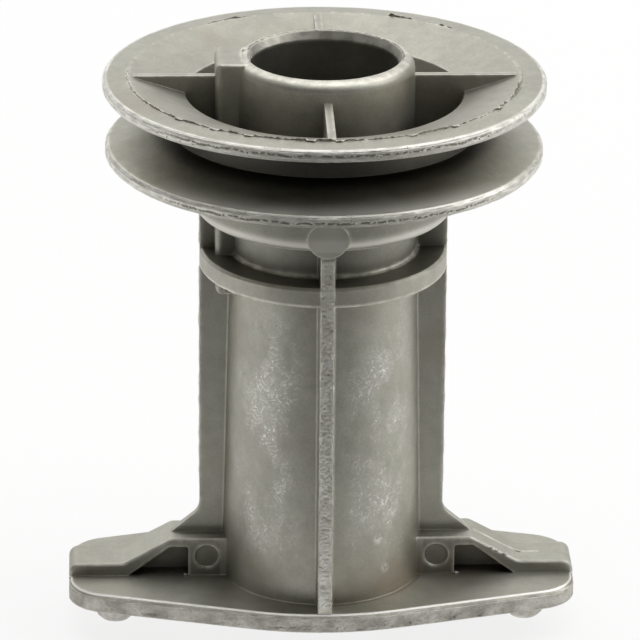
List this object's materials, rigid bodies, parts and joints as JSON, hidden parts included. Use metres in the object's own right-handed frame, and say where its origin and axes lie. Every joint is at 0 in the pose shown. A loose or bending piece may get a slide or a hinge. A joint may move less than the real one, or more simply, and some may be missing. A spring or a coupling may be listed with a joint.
{
  "type": "mower blade holder",
  "caption": "Die-cast aluminium blade holder: keyed shaft bore, V-belt pulley cast round its head, ribbed tapered tube, and lozenge base plate with drive lugs.",
  "frame": {"origin": "on the axis of the shaft bore, at the blade seat, which is the underside of the base plate", "axes": "+Z along the shaft axis, up to the pulley and the engine; X along the two arms, with the key boss on the -X side; the plane y = 0 is the parting plane of the casting"},
  "size_m": [0.0876, 0.075, 0.1034],
  "materials": {
    "cast_aluminium": "satin, as cast"
  },
  "bodies": {
    "root": {"holder_casting": "cast_aluminium"}
  },
  "joints": []
}
